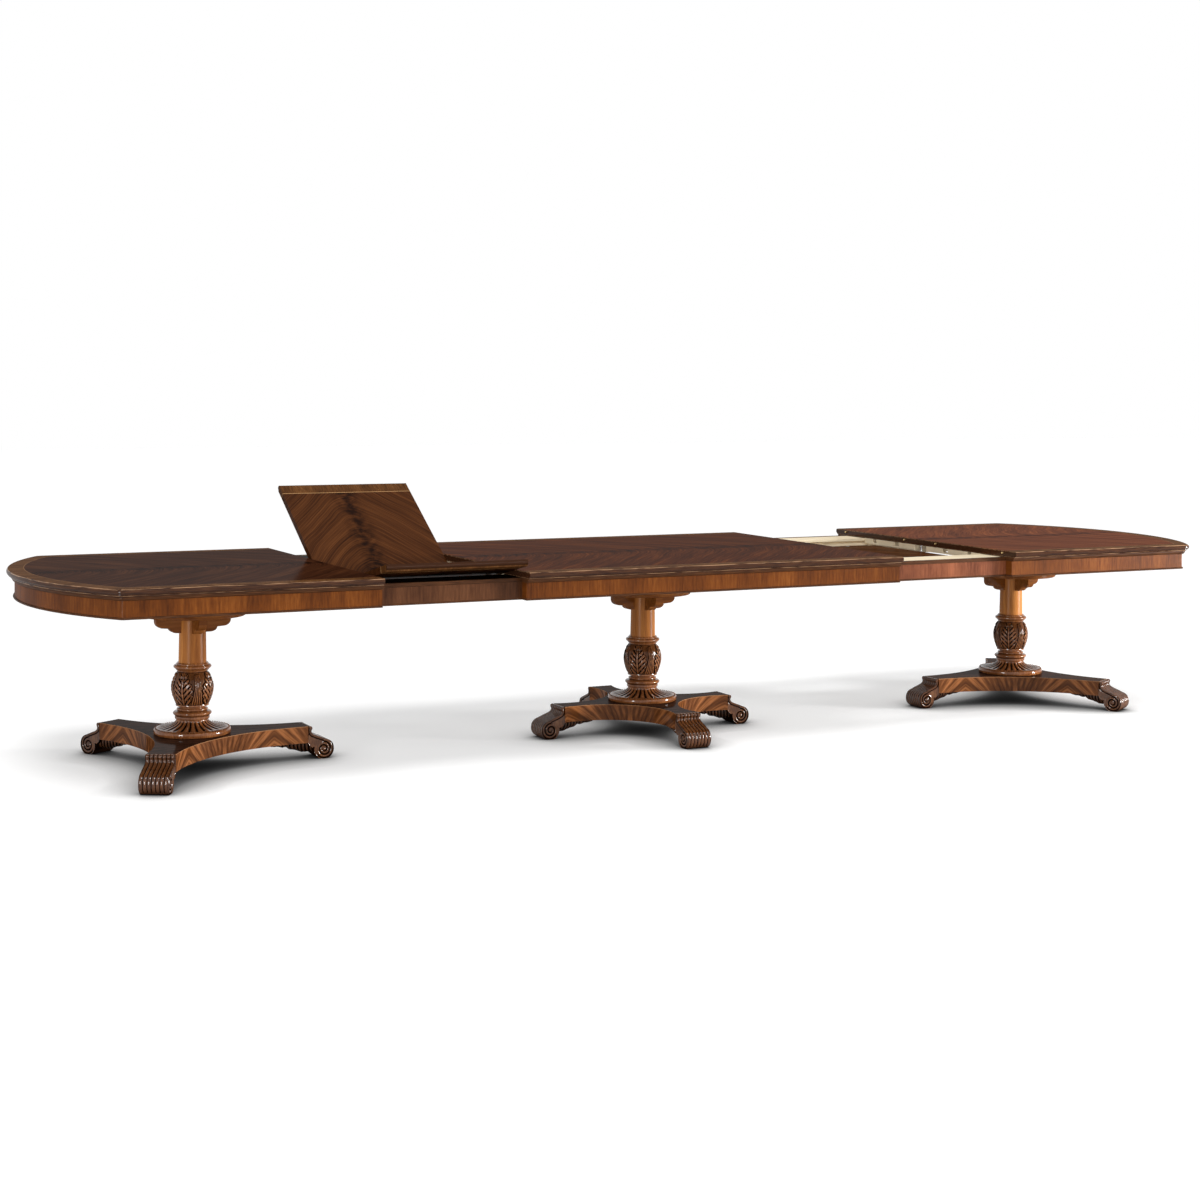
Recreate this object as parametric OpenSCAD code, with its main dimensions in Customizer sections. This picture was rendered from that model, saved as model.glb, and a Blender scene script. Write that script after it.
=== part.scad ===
// Extending dining table on three pedestals: a fixed centre section and two
// bow-ended sections that slide on it, with a folding leaf for each opening.
// X runs along the table, Y across it, Z up. The origin is on the floor under
// the middle of the centre section. Millimetres.

/* [Tops] */
// Width of the table across the tops
top_w = 1380; // [1200:10:1500]
// Height of the table top above the floor
top_h = 762; // [740:1:790]
// Thickness of the fixed tops
top_t = 27; // [25:1:30]
// Length of the centre top
centre_l = 1694; // [1600:2:1900]
// Opening between the centre top and an end top, as photographed
opening_l = 577; // [540:1:640]
// Straight length of an end top, from its seam to the start of the bow
end_l = 962; // [940:2:1060]
// Rise of the bow at each end of the table
bow_rise = 227; // [150:1:300]
// Flat arris of the tops, set in from their widest edge
arris_in = 8; // [5:0.5:10]
// Radius of the rounded corners of the end tops, in plan
corner_r = 42; // [38:0.5:43.5]

/* [Aprons] */
// Height of the aprons, from their bottom edge to the underside of the tops
apron_h = 82; // [80:1:90]
// Thickness of the section aprons
apron_t = 40; // [36:1:44]
// Apron face, set in from the widest edge of the top
apron_in = 30; // [26:1:36]
// Thickness of the sliding aprons that close the openings
well_apron_t = 21.2; // [18:0.2:26]
// How far the sliding frame reaches past an end seam
frame_grip = 100; // [60:5:140]

/* [Frame] */
// Gap between a sliding apron and the section apron beside it
slide_gap = 0.8; // [0.5:0.1:2]
// Width of the planks inside the sliding aprons
plank_w = 150; // [120:5:170]
// Thickness of those planks
plank_t = 33; // [28:1:36]
// Width of an end section's runners
runner_w = 42; // [30:1:60]
// Tongue of a runner in the groove of its plank
tongue = 13; // [8:1:16]
// Thickness of the seam rails
seam_rail_t = 21; // [16:1:26]
// Depth of the seam rails
seam_rail_h = 24; // [20:0.5:24.5]
// Width of the cross rails
rail_w = 40; // [30:1:50]
// Gap in the middle of the seam rails, which the lift carrier passes
rail_gap = 90; // [70:2:120]
// Width of the bearers over a pedestal
bearer_w = 40; // [30:1:60]
// Height of those bearers
bearer_h = 53; // [40:1:60]
// Radius of the brass pins in the seam edges
pin_r = 4; // [3:0.5:5]
// Free length of those pins
pin_out = 9; // [6:0.5:9]

/* [Leaves] */
// Thickness of a folding leaf
leaf_t = 25; // [22:0.5:25]
// Rise of the left leaf's back half above level
back_tilt = 32.5; // [20:0.5:45]
// Clearance between its front half and the planks
leaf_rest = 2.7; // [1:0.1:6]
// Drop of its hinge line below the table top
hinge_drop = 100; // [90:1:101]
// Thickness of the steel straps in a well
strap_t = 2.5; // [2:0.25:3]
// Radius of the hinge pins
hinge_r = 1.25; // [1:0.05:1.5]
// Reach of the stays under the back half
stay_l = 320; // [200:5:400]

/* [Pedestals] */
// Centre of an end pedestal, from its section's seam
end_ped = 516; // [500:2:560]
// Radius of the round head plate
plate_r = 208; // [180:2:220]
// Thickness of the head plate
plate_t = 20; // [16:1:24]
// Reach of the brackets under the head plate
bracket_out = 145; // [125:1:160]
// Thickness of a bracket
bracket_t = 32; // [24:1:40]
// Radius of the shaft at its head
shaft_r_top = 49.5; // [44:0.5:54]
// Radius of the shaft at its foot
shaft_r_bottom = 52.5; // [46:0.5:58]
// Height of the shaft's foot above the floor
shaft_z = 400; // [390:1:410]
// Greatest radius of the carved vase
vase_r = 77; // [70:1:86]
// Radius of the bell's disc
disc_r = 145; // [130:1:158]
// Top of the plinth above the floor
plinth_z = 130; // [126:1:136]
// Thickness of the plinth
plinth_t = 65; // [55:1:70]
// Reach of the centre plinth's four arms
arm_four = 388; // [340:2:440]
// Reach of an end plinth's three arms
arm_three = 444; // [380:2:500]
// Width of an arm's end, and of the scroll foot on it
arm_w = 108; // [90:1:130]
// Narrowest radius of the plinth, between two arms
waist_r = 168; // [160:1:200]
// Radius of a foot's volute
volute_r = 40; // [34:1:44]
// Centre of the volute beyond the arm's end
volute_out = 65; // [55:1:75]
// Radius of the tie rod
rod_r = 6; // [5:0.5:8]

/* [Hidden] */
$fn = 96;
bow_fn = 720;

// Colours
TOP_WOOD = [0.24, 0.11, 0.07];
APRON_WOOD = [0.45, 0.22, 0.10];
SHAFT_WOOD = [0.52, 0.29, 0.14];
CARVED_WOOD = [0.30, 0.14, 0.07];
PALE_WOOD = [0.88, 0.76, 0.56];
STEEL = [0.55, 0.56, 0.58];
BRASS = [0.72, 0.55, 0.24];

// Plan of the tops
half_w = top_w / 2;
seam_c = centre_l / 2;
seam_e = seam_c + opening_l;
bow_x = seam_e + end_l;
bow_r = (half_w * half_w + bow_rise * bow_rise) / (2 * bow_rise);
bow_cx = bow_x + bow_rise - bow_r;
end_x = bow_x + bow_rise;

// Levels
under_z = top_h - top_t;
apron_z = under_z - apron_h;
bearer_z = apron_z - bearer_h;
plate_z = bearer_z - plate_t;
foot_z = plinth_z - plinth_t;

// Faces across the frame
apron_y = half_w - apron_in;
inner_y = apron_y - apron_t;
well_y = inner_y - slide_gap;
plank_y = well_y - well_apron_t;
plank_in = plank_y - plank_w;
free = 1;
slide_clear = 0.5;
runner_y = plank_in - free;
groove = tongue + free;
groove_h = 12;
plank_top = under_z - 2;
groove_low = plank_top - plank_t / 2 - groove_h / 2;

// Edge moulding of the tops: ovolo, bead, fillet and cove, as [inset, depth]
ovolo_d = 12;
bead_d = 6;
bead_in = 4;
fillet_in = 5;
cove_d = 6;
cove_in = 12;
function edge_points(t) = concat(
  [for (a = [0:15:90]) [arris_in * (1 - sin(a)), ovolo_d * (1 - cos(a))]],
  [for (a = [30:30:90]) [bead_in * (1 - cos(a)), ovolo_d + bead_d * sin(a)]],
  [[fillet_in, ovolo_d + bead_d]],
  [for (a = [0:30:90]) [fillet_in + (cove_in - fillet_in) * sin(a), t - cove_d * cos(a)]]
);

// Outer face of the section aprons: bead at the bottom, cornice at the top
lip_r = 4;
lip_out = 6;
cornice_h = 16;
cornice_out = 13;
function apron_face() = concat(
  [for (a = [-90:30:90]) [apron_in - lip_out * cos(a), apron_z + lip_r + lip_r * sin(a)]],
  [for (a = [0:30:90]) [apron_in - (cornice_out - 2) * sin(a), under_z - cornice_h + 8 * (1 - cos(a))]],
  [[apron_in - cornice_out, under_z - 6], [apron_in - cornice_out, under_z - 2]],
  [[apron_in - cornice_out + 2, under_z]]
);

// Corner of the D plan at an inset from the widest edge. A disc rounds it, seated
// a hair inside the faces that it runs out of, so that no two faces touch.
function corner(k) = [bow_cx + sqrt(pow(bow_r - k, 2) - pow(half_w - k, 2)), half_w - k];
turn_hair = 0.02;
plan_spare = 20;
turn_r = corner_r - turn_hair;
turn_c = corner(corner_r);
turn_a = atan2(turn_c[1], turn_c[0] - bow_cx);
function from_turn(r, a) = [turn_c[0] + r * cos(a), turn_c[1] + r * sin(a)];
board_in = apron_in + apron_t;
ray_out = from_turn(corner_r + plan_spare, turn_a);
ray_in = from_turn(corner_r - board_in - plan_spare, turn_a);
mitre = [from_turn(corner_r + plan_spare, (turn_a + 90) / 2), turn_c, corner(board_in),
  corner(board_in + plan_spare)];

// Runs a profile drawn in (Y, Z) along X from x0 to x1
module along_x(x0, x1) {
  translate([x0, 0, 0]) rotate([90, 0, 90]) linear_extrude(x1 - x0) children();
}

// A box from its two corners
module box(a, b) {
  translate(a) cube(b - a);
}

// A box and its twin across the table
module box_pair(a, b) {
  box(a, b);
  mirror([0, 1, 0]) box(a, b);
}

module slab_section(t) {
  edge = edge_points(t);
  right = [for (p = edge) [half_w - p[0], top_h - p[1]]];
  left = [for (i = [len(edge) - 1:-1:0]) [edge[i][0] - half_w, top_h - edge[i][1]]];
  polygon(concat(right, left));
}

// Top of a given outer radius, as half a section for a turn about Z
module slab_turn(r) {
  rim = [for (p = edge_points(top_t)) [r - p[0], top_h - p[1]]];
  polygon(concat([[0, top_h]], rim, [[0, under_z]]));
}

// Turns a half section about the centre of a rounded corner
module at_turn() {
  translate([turn_c[0], turn_c[1], 0]) rotate_extrude() children();
}

// Keeps what lies in a plan that is bounded by a line of points and its twin, on the bow's side
module bow_side(line) {
  back = [for (i = [len(line) - 1:-1:0]) [line[i][0], -line[i][1]]];
  far = end_x + plan_spare;
  intersection() {
    children();
    translate([0, 0, apron_z - 1]) linear_extrude(top_h - apron_z + 2)
      polygon(concat([[far, line[0][1]]], line, back, [[far, -line[0][1]]]));
  }
}

// Holes for the brass pins, along X from a seam edge
pin_edge = 90;
pin_mid = 120;
pin_y = [pin_edge - half_w, -pin_mid, pin_mid, half_w - pin_edge];
pin_drop = 11;
pin_slack = 0.5;
module pin_holes(x0, x1) {
  for (y = pin_y)
    translate([x0, y, top_h - pin_drop])
      rotate([0, 90, 0]) cylinder(r = pin_r + pin_slack, h = x1 - x0);
}

pin_deep = 14;
module centre_top() {
  color(TOP_WOOD) difference() {
    along_x(-seam_c, seam_c) slab_section(top_t);
    pin_holes(-seam_c - 1, -seam_c + pin_deep);
    pin_holes(seam_c - pin_deep, seam_c + 1);
  }
}

pin_seat = 12;
module end_top() {
  color(TOP_WOOD) difference() {
    union() {
      along_x(seam_e, turn_c[0]) slab_section(top_t);
      bow_side([ray_out, ray_in]) translate([bow_cx, 0, 0]) rotate_extrude($fn = bow_fn) slab_turn(bow_r);
      for (t = [0, 1]) mirror([0, t, 0]) at_turn() slab_turn(turn_r);
    }
    for (y = pin_y)
      translate([seam_e - 1, y, top_h - pin_drop])
        rotate([0, 90, 0]) cylinder(r = pin_r, h = pin_seat + 1);
  }
}

module end_pins() {
  color(BRASS) for (y = pin_y)
    translate([seam_e - pin_out, y, top_h - pin_drop]) rotate([0, 90, 0]) union() {
      cylinder(r1 = pin_r - 1.5, r2 = pin_r, h = 2);
      translate([0, 0, 2]) cylinder(r = pin_r, h = pin_out - 2 + pin_seat);
    }
}

// Section aprons: straight boards, and the bow board between two mitres
module apron_section(r = half_w, inner = inner_y) {
  face = [for (p = apron_face()) [r - p[0], p[1]]];
  polygon(concat([[inner, apron_z]], face, [[inner, under_z]]));
}

module centre_apron_back() {
  color(APRON_WOOD) along_x(-seam_c, seam_c) apron_section();
}

module end_apron_back() {
  color(APRON_WOOD) intersection() {
    union() {
      along_x(seam_e, turn_c[0]) apron_section();
      at_turn() apron_section(turn_r, 0);
    }
    translate([0, 0, apron_z - 1]) linear_extrude(apron_h + 2)
      polygon(concat([[seam_e - 1, mitre[0][1]]], mitre, [[seam_e - 1, mitre[3][1]]]));
  }
}

module end_apron_bow() {
  color(APRON_WOOD) bow_side(mitre) {
    bow_side([ray_out, ray_in]) translate([bow_cx, 0, 0]) rotate_extrude($fn = bow_fn)
      apron_section(bow_r, bow_r - board_in);
    for (t = [0, 1]) mirror([0, t, 0]) at_turn() apron_section(turn_r, 0);
  }
}

// Sliding aprons, planks and straps, fixed to the centre section
rail_x = [140, 420];
frame_x0 = rail_x[1] + rail_w / 2;
frame_x1 = seam_e + frame_grip;
strip_h = 15;
strip_in = 3;
module well_apron_back() {
  color(APRON_WOOD * 0.8) difference() {
    box([frame_x0, plank_y, apron_z], [frame_x1, well_y, under_z - slide_clear]);
    box([frame_x0 - 1, well_y - strip_in, under_z - strip_h], [frame_x1 + 1, well_y + 1, under_z]);
  }
}

module well_planks() {
  color(PALE_WOOD) for (s = [0, 1]) mirror([s, 0, 0]) for (t = [0, 1]) mirror([0, t, 0])
    difference() {
      box([frame_x0, plank_in, plank_top - plank_t], [frame_x1, plank_y, plank_top]);
      box([frame_x0 - 1, plank_in - 1, groove_low], [frame_x1 + 1, plank_in + groove, groove_low + groove_h]);
    }
}

// Rails under the centre top: cross rails, and seam rails with a middle gap
notch_h = 17;
notches = [[168, 206], [348, 376]];
module seam_rail(x0, x1) {
  z0 = under_z - seam_rail_h;
  difference() {
    box([x0, rail_gap / 2, z0], [x1, runner_y - free, under_z]);
    for (n = notches) box([x0 - 1, n[0], under_z - notch_h], [x1 + 1, n[1], under_z + 1]);
  }
}

module centre_rails() {
  color(PALE_WOOD) for (s = [0, 1]) mirror([s, 0, 0]) {
    for (x = rail_x) box([x - rail_w / 2, -inner_y, apron_z], [x + rail_w / 2, inner_y, under_z]);
    for (t = [0, 1]) mirror([0, t, 0]) seam_rail(seam_c - 1 - seam_rail_t, seam_c - 1);
  }
}

bearer_y = 90;
module centre_bearers() {
  reach = rail_x[1] + rail_w / 2;
  color(PALE_WOOD) box_pair([-reach, bearer_y, bearer_z], [reach, bearer_y + bearer_w, apron_z]);
}

// Rails, runners and bearers of an end section
ped_x = seam_e + end_ped;
near_rail = 115;
middle_rail = 230;
far_rail = 380;
end_rail_x = [ped_x + near_rail, ped_x + middle_rail, ped_x + far_rail];
runner_x0 = seam_e + seam_rail_t;
runner_x1 = end_rail_x[1] - rail_w / 2;
runner_lift = 7;
module end_rails() {
  inner = runner_y - runner_w;
  color(PALE_WOOD) {
    for (t = [0, 1]) mirror([0, t, 0]) seam_rail(seam_e, runner_x0);
    box([end_rail_x[0] - rail_w / 2, -inner, apron_z], [end_rail_x[0] + rail_w / 2, inner, under_z]);
    for (i = [1, 2])
      box([end_rail_x[i] - rail_w / 2, -inner_y, apron_z], [end_rail_x[i] + rail_w / 2, inner_y, under_z]);
  }
}

module end_runners() {
  mid = groove_low + groove_h / 2;
  half_tongue = groove_h / 2 - slide_clear;
  color(PALE_WOOD) for (t = [0, 1]) mirror([0, t, 0]) union() {
    box([runner_x0, runner_y - runner_w, apron_z + runner_lift], [runner_x1, runner_y, under_z]);
    box([runner_x0, runner_y - 1, mid - half_tongue], [runner_x1, runner_y + tongue, mid + half_tongue]);
  }
}

module end_bearers() {
  color(PALE_WOOD)
    box_pair([ped_x - plate_r, bearer_y, bearer_z],
      [end_rail_x[2] + rail_w / 2, bearer_y + bearer_w, apron_z]);
}

// Leaves. Local frame: hinge axis at the origin along X, show face at Z = 0,
// the half reaches to +Y. x runs from leaf_x0 to leaf_x1 in the table's frame.
leaf_x0 = seam_c + 1;
leaf_x1 = seam_e - pin_out - 2;
leaf_split = 0.3;
hinge_in = 153;
hinge_x = [seam_c + hinge_in, leaf_x1 - hinge_in];
knuckle = 12;
knuckle_gap = 1;
unit_l = 4 * knuckle + 3 * knuckle_gap;
notch_in = 8;
notch_end = 4;
eye_r = hinge_r + 1.75;
running = 0.05;
module leaf_half() {
  edge = edge_points(leaf_t);
  rim = [for (p = edge) [half_w - p[0], -p[1]]];
  difference() {
    along_x(leaf_x0, leaf_x1)
      polygon(concat([[leaf_split, 0]], rim, [[leaf_split, -leaf_t]]));
    for (x = hinge_x)
      box([x - notch_end, -1, -leaf_t - 1], [x + unit_l + notch_end, notch_in, 1]);
    for (y = [pin_y[2], pin_y[3]])
      translate([leaf_x1 - pin_deep, y, -pin_drop])
        rotate([0, 90, 0]) cylinder(r = pin_r + pin_slack, h = pin_deep + 1);
  }
}

// Start of the n-th knuckle of a hinge: 0 front, 1 carrier, 2 stay, 3 back
function knuckle_x(x, n) = x + n * (knuckle + knuckle_gap);

module eye(r, bore) {
  difference() {
    rotate([0, 90, 0]) cylinder(r = r, h = knuckle);
    translate([-1, 0, 0]) rotate([0, 90, 0]) cylinder(r = bore, h = knuckle + 2);
  }
}

tab_h = 14;
module leaf_knuckles(n) {
  for (x = hinge_x) translate([knuckle_x(x, n), 0, 0]) difference() {
    union() {
      rotate([0, 90, 0]) cylinder(r = eye_r, h = knuckle);
      box([0, 0, -tab_h], [knuckle, notch_in, 0]);
    }
    translate([-1, 0, 0]) rotate([0, 90, 0]) cylinder(r = hinge_r + running, h = knuckle + 2);
    box([-1, -eye_r, -tab_h - 1], [knuckle + 1, hinge_r + 1, -eye_r]);
  }
}

module hinge_pins() {
  for (x = hinge_x) translate([x - 2, 0, 0]) rotate([0, 90, 0]) cylinder(r = hinge_r, h = unit_l + 4);
}

// Carrier bar on two guide rods, with a post to each hinge
guide_r = 4;
guide_x = [seam_c - 47, seam_e + 5];
carrier_h = 10;
carrier_half = 8;
carrier_end = 8;
carrier_drop = 42;
post_half = 2;
module carrier(closed) {
  difference() {
    union() {
      box([guide_x[0] - carrier_end, -carrier_half, -carrier_drop],
        [guide_x[1] + carrier_end, carrier_half, carrier_h - carrier_drop]);
      for (x = hinge_x) translate([knuckle_x(x, 1), 0, 0]) {
        box([0, -post_half, carrier_h - carrier_drop - 1], [knuckle, post_half, 0]);
        rotate([0, 90, 0]) cylinder(r = eye_r, h = knuckle);
      }
    }
    for (x = hinge_x) translate([knuckle_x(x, 1) - 1, 0, 0]) {
      rotate([0, 90, 0]) cylinder(r = hinge_r + running, h = knuckle + 2);
      if (!closed) box([0, -hinge_r - running, 0], [knuckle + 2, hinge_r + running, eye_r + 1]);
    }
    for (x = guide_x) translate([x, 0, -carrier_drop - 1]) cylinder(r = guide_r + running, h = carrier_h + 2);
  }
}

// Stays: an eye on the hinge pin, a tab down the notch and an arm under the back half
stay_t = 4;
stay_w = 5;
module stays() {
  z1 = -leaf_t - slide_clear;
  for (x = hinge_x) translate([knuckle_x(x, 2), 0, 0]) difference() {
    union() {
      rotate([0, 90, 0]) cylinder(r = eye_r, h = knuckle);
      box([0, 0, z1 - stay_t], [knuckle, stay_w, 0]);
      box([0, 0, z1 - stay_t], [knuckle, stay_l, z1]);
    }
    translate([-1, 0, 0]) rotate([0, 90, 0]) cylinder(r = hinge_r + running, h = knuckle + 2);
  }
  box([knuckle_x(hinge_x[0], 2), stay_l - 14, z1 - stay_t], [knuckle_x(hinge_x[1], 2) + 1, stay_l, z1]);
}

// The left leaf stands open in its V, its front half just clear of the planks
hinge_z = top_h - hinge_drop;
rest_h = plank_top + leaf_rest - hinge_z;
front_tilt = atan(rest_h / plank_in) + asin(leaf_t / norm([plank_in, rest_h]));
module at_left_hinge() {
  mirror([1, 0, 0]) translate([0, 0, hinge_z]) children();
}

module left_leaf_back() {
  color(TOP_WOOD) at_left_hinge() rotate([back_tilt, 0, 0]) leaf_half();
}

module left_leaf_front() {
  color(TOP_WOOD) at_left_hinge() rotate([-front_tilt, 0, 0]) mirror([0, 1, 0]) leaf_half();
}

module left_leaf_back_hinges() {
  color(BRASS) at_left_hinge() rotate([back_tilt, 0, 0]) leaf_knuckles(3);
}

module left_leaf_front_hinges() {
  color(BRASS) at_left_hinge() rotate([-front_tilt, 0, 0]) mirror([0, 1, 0]) leaf_knuckles(0);
}

module left_leaf_pins() {
  color(BRASS) at_left_hinge() hinge_pins();
}

module left_carrier() {
  color(STEEL) at_left_hinge() carrier(true);
}

module left_leaf_stays() {
  color(STEEL) at_left_hinge() rotate([back_tilt, 0, 0]) stays();
}

// The right leaf lies folded in its well, on the straps
strap_w = 20;
cross_z = apron_z + slide_clear;
strap_z = cross_z + strap_t;
pack_z = strap_z + strap_t;
fold_z = pack_z + leaf_t + leaf_split / 2;
module at_right_hinge() {
  translate([0, half_w / 2, fold_z]) children();
}

module right_leaf_lower() {
  color(TOP_WOOD) at_right_hinge() translate([0, 0, -leaf_split / 2]) mirror([0, 1, 0]) leaf_half();
}

module right_leaf_upper() {
  color(TOP_WOOD) at_right_hinge() translate([0, 0, leaf_split / 2]) rotate([180, 0, 0]) leaf_half();
}

module right_leaf_hinges() {
  color(BRASS) at_right_hinge() {
    mirror([0, 1, 0]) leaf_knuckles(0);
    rotate([180, 0, 0]) leaf_knuckles(3);
    hinge_pins();
  }
}

// Steel cross straps, cranked under the carrier, with the guide rods on them
crank_y = 40;
crank_z = plate_z + plate_t + 3;
ear_h = 34;
guide_top = under_z - 0.7;
module well_guides() {
  y1 = plank_y;
  color(STEEL) for (s = [0, 1]) mirror([s, 0, 0]) for (x = guide_x) {
    union() {
      for (t = [0, 1]) mirror([0, t, 0]) {
        box([x - strap_w / 2, crank_y - strap_t, cross_z], [x + strap_w / 2, y1, cross_z + strap_t]);
        box([x - strap_w / 2, y1 - strap_t, cross_z], [x + strap_w / 2, y1, cross_z + ear_h]);
        box([x - strap_w / 2, crank_y - strap_t, crank_z], [x + strap_w / 2, crank_y, cross_z + strap_t]);
      }
      box([x - strap_w / 2, -crank_y, crank_z], [x + strap_w / 2, crank_y, crank_z + strap_t]);
      translate([x, 0, crank_z]) cylinder(r = guide_r, h = guide_top - crank_z);
    }
  }
}

leaf_strap_y = 230;
leaf_strap_w = 40;
module well_straps() {
  x0 = guide_x[0] - strap_w / 2;
  x1 = guide_x[1] + strap_w / 2;
  color(STEEL) for (s = [0, 1]) mirror([s, 0, 0])
    box_pair([x0, leaf_strap_y, strap_z], [x1, leaf_strap_y + leaf_strap_w, pack_z]);
}

park_z = crank_z + strap_t + 2;
module right_carrier() {
  color(STEEL) translate([0, 0, park_z + carrier_drop]) carrier(false);
}

// Pedestal parts, drawn about their own axis
rod_gap = 0.5;
bore_r = rod_r + rod_gap;
nut_h = 9;
nut_r = 10;
nut_gap = 1;

// Head: a round plate with a stepped edge, on four brackets of two lobes each
band_step = 8;
band_h = 9;
edge_break = 2;
shaft_gap = 0.2;
bracket_root = shaft_r_top - 12;
nose_h = 22;
outer_lobe = [27, 24];
inner_lobe = [28, 18];
lobe_step = 2;
module head_plate() {
  low_r = plate_r - band_step;
  rotate_extrude() polygon([
    [0, plate_z], [low_r - edge_break, plate_z], [low_r, plate_z + edge_break],
    [low_r, plate_z + band_h], [plate_r - edge_break, plate_z + band_h],
    [plate_r, plate_z + band_h + edge_break], [plate_r, bearer_z - edge_break],
    [plate_r - edge_break, bearer_z], [0, bearer_z]
  ]);
}

function bracket_points() =
  let(step_z = -nose_h - outer_lobe[1] - lobe_step, inner_x = shaft_r_top + 14.5)
  concat(
    [[bracket_root, 0], [bracket_out, 0]],
    [for (a = [0:15:90]) [bracket_out - outer_lobe[0] * (1 - cos(a)), -nose_h - outer_lobe[1] * sin(a)]],
    [for (a = [0:15:90]) [inner_x + inner_lobe[0] * cos(a), step_z - inner_lobe[1] * sin(a)]],
    [[bracket_root, step_z - inner_lobe[1]]]
  );

module head() {
  color(SHAFT_WOOD) difference() {
    union() {
      head_plate();
      for (a = [0:90:270]) rotate([0, 0, a]) translate([0, bracket_t / 2, plate_z])
        rotate([90, 0, 0]) linear_extrude(bracket_t) polygon(bracket_points());
    }
    translate([0, 0, shaft_z])
      cylinder(r1 = shaft_r_bottom + shaft_gap, r2 = shaft_r_top + shaft_gap, h = plate_z - shaft_z);
    translate([0, 0, plate_z - 1]) cylinder(r = bore_r, h = plate_t + 2);
    translate([0, 0, bearer_z - nut_h]) cylinder(r = nut_r + nut_gap, h = nut_h + 1);
  }
}

module shaft() {
  color(SHAFT_WOOD) difference() {
    translate([0, 0, shaft_z]) cylinder(r1 = shaft_r_bottom, r2 = shaft_r_top, h = plate_z - shaft_z);
    translate([0, 0, shaft_z - 1]) cylinder(r = bore_r, h = plate_z - shaft_z + 2);
  }
}

// Half of a round bead at height z: r to its flat side, half height h, standing out
function bead(r, z, h, out) = [for (a = [90:-30:-90]) [r + out * cos(a), z + h * sin(a)]];

// Carved vase with its collar above and its two rings below
vase_z = 190;
vase_top = shaft_z - 34;
vase_base = vase_z + 52;
collar_r = shaft_r_bottom + 9;
vase_neck = shaft_r_bottom + 6;
ring_neck = 49;
vase_seat = 65.5;
function vase_profile() = concat(
  [[bore_r, shaft_z], [vase_neck, shaft_z], [collar_r, shaft_z - 5]],
  bead(collar_r, shaft_z - 15, 8, 10),
  [[collar_r + 2, shaft_z - 25], [collar_r - 2, shaft_z - 29], [vase_neck, vase_top]],
  [for (i = [1:11]) let(u = i / 12, swell = sin(180 * pow(u, 0.9)))
    [vase_neck + (vase_r - vase_neck) * swell + 3 * u, vase_top - u * (vase_top - vase_base)]],
  [[62, vase_base], [62.5, vase_base - 6], [ring_neck, vase_base - 9], [ring_neck, vase_base - 13]],
  bead(ring_neck + 3, vase_base - 19, 5, 7),
  bead(ring_neck + 9, vase_base - 34, 9, 15),
  [[vase_seat, vase_z + 7], [vase_seat, vase_z], [bore_r, vase_z]]
);

module vase() {
  color(CARVED_WOOD) rotate_extrude() polygon(vase_profile());
}

// Bell: a flare cut into gadroons, on a disc with a rounded rim
disc_h = 17;
bell_neck = vase_seat - 4.5;
flare_z = vase_z - 5;
flare_h = flare_z - plinth_z - disc_h - 6;
gadroons = 24;
gadroon_cut = 3.2;
gadroon_deep = 2.6;
function flare(u) = let(k = 1.16 * (1 - sqrt(1 - 0.98 * u * u)))
  [bell_neck + (disc_r - 3 - bell_neck) * k, flare_z - u * flare_h];
function bell_profile() = concat(
  [[bore_r, vase_z], [vase_seat, vase_z]],
  [for (u = [0:0.1:1]) flare(u)],
  [[disc_r - 1, plinth_z + disc_h + 3], [disc_r - 4, plinth_z + disc_h]],
  [[disc_r, plinth_z + disc_h - 2], [disc_r, plinth_z + 2], [disc_r - 2, plinth_z], [bore_r, plinth_z]]
);

module gadroon_groove() {
  floor_line = [for (u = [0.35:0.1:0.95]) flare(u) - [gadroon_deep, gadroon_deep] / sqrt(2)];
  open_line = [for (u = [0.95:-0.1:0.35]) flare(u) + [10, 10]];
  translate([0, gadroon_cut / 2, 0]) rotate([90, 0, 0])
    linear_extrude(gadroon_cut) polygon(concat(floor_line, open_line));
}

module bell() {
  color(CARVED_WOOD) difference() {
    rotate_extrude() polygon(bell_profile());
    for (i = [0:gadroons - 1]) rotate([0, 0, (i + 0.5) * 360 / gadroons]) gadroon_groove();
  }
}

// Plinth: a slab with an arm to each foot and a hollow side between two arms
corner_spare = 2;
side_fn = 180;
module plinth(n, arm) {
  half = 180 / n;
  end_u = arm * cos(half) + arm_w / 2 * sin(half);
  end_v = arm * sin(half) - arm_w / 2 * cos(half);
  rise = end_u - waist_r;
  side_r = (end_v * end_v + rise * rise) / (2 * rise);
  end_w = arm_w / 2 + corner_spare;
  color(CARVED_WOOD) difference() {
    translate([0, 0, foot_z]) linear_extrude(plinth_t) difference() {
      polygon([for (i = [0:n - 1]) for (s = [-1, 1])
        let(a = i * 360 / n) [arm * cos(a) - s * end_w * sin(a), arm * sin(a) + s * end_w * cos(a)]]);
      for (i = [0:n - 1]) rotate(i * 360 / n + half)
        translate([waist_r + side_r, 0]) circle(r = side_r, $fn = side_fn);
    }
    translate([0, 0, foot_z - 1]) cylinder(r = bore_r, h = plinth_t + 2);
    translate([0, 0, foot_z - 1]) cylinder(r = nut_r + 2 * nut_gap, h = nut_h + 3);
  }
}

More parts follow.
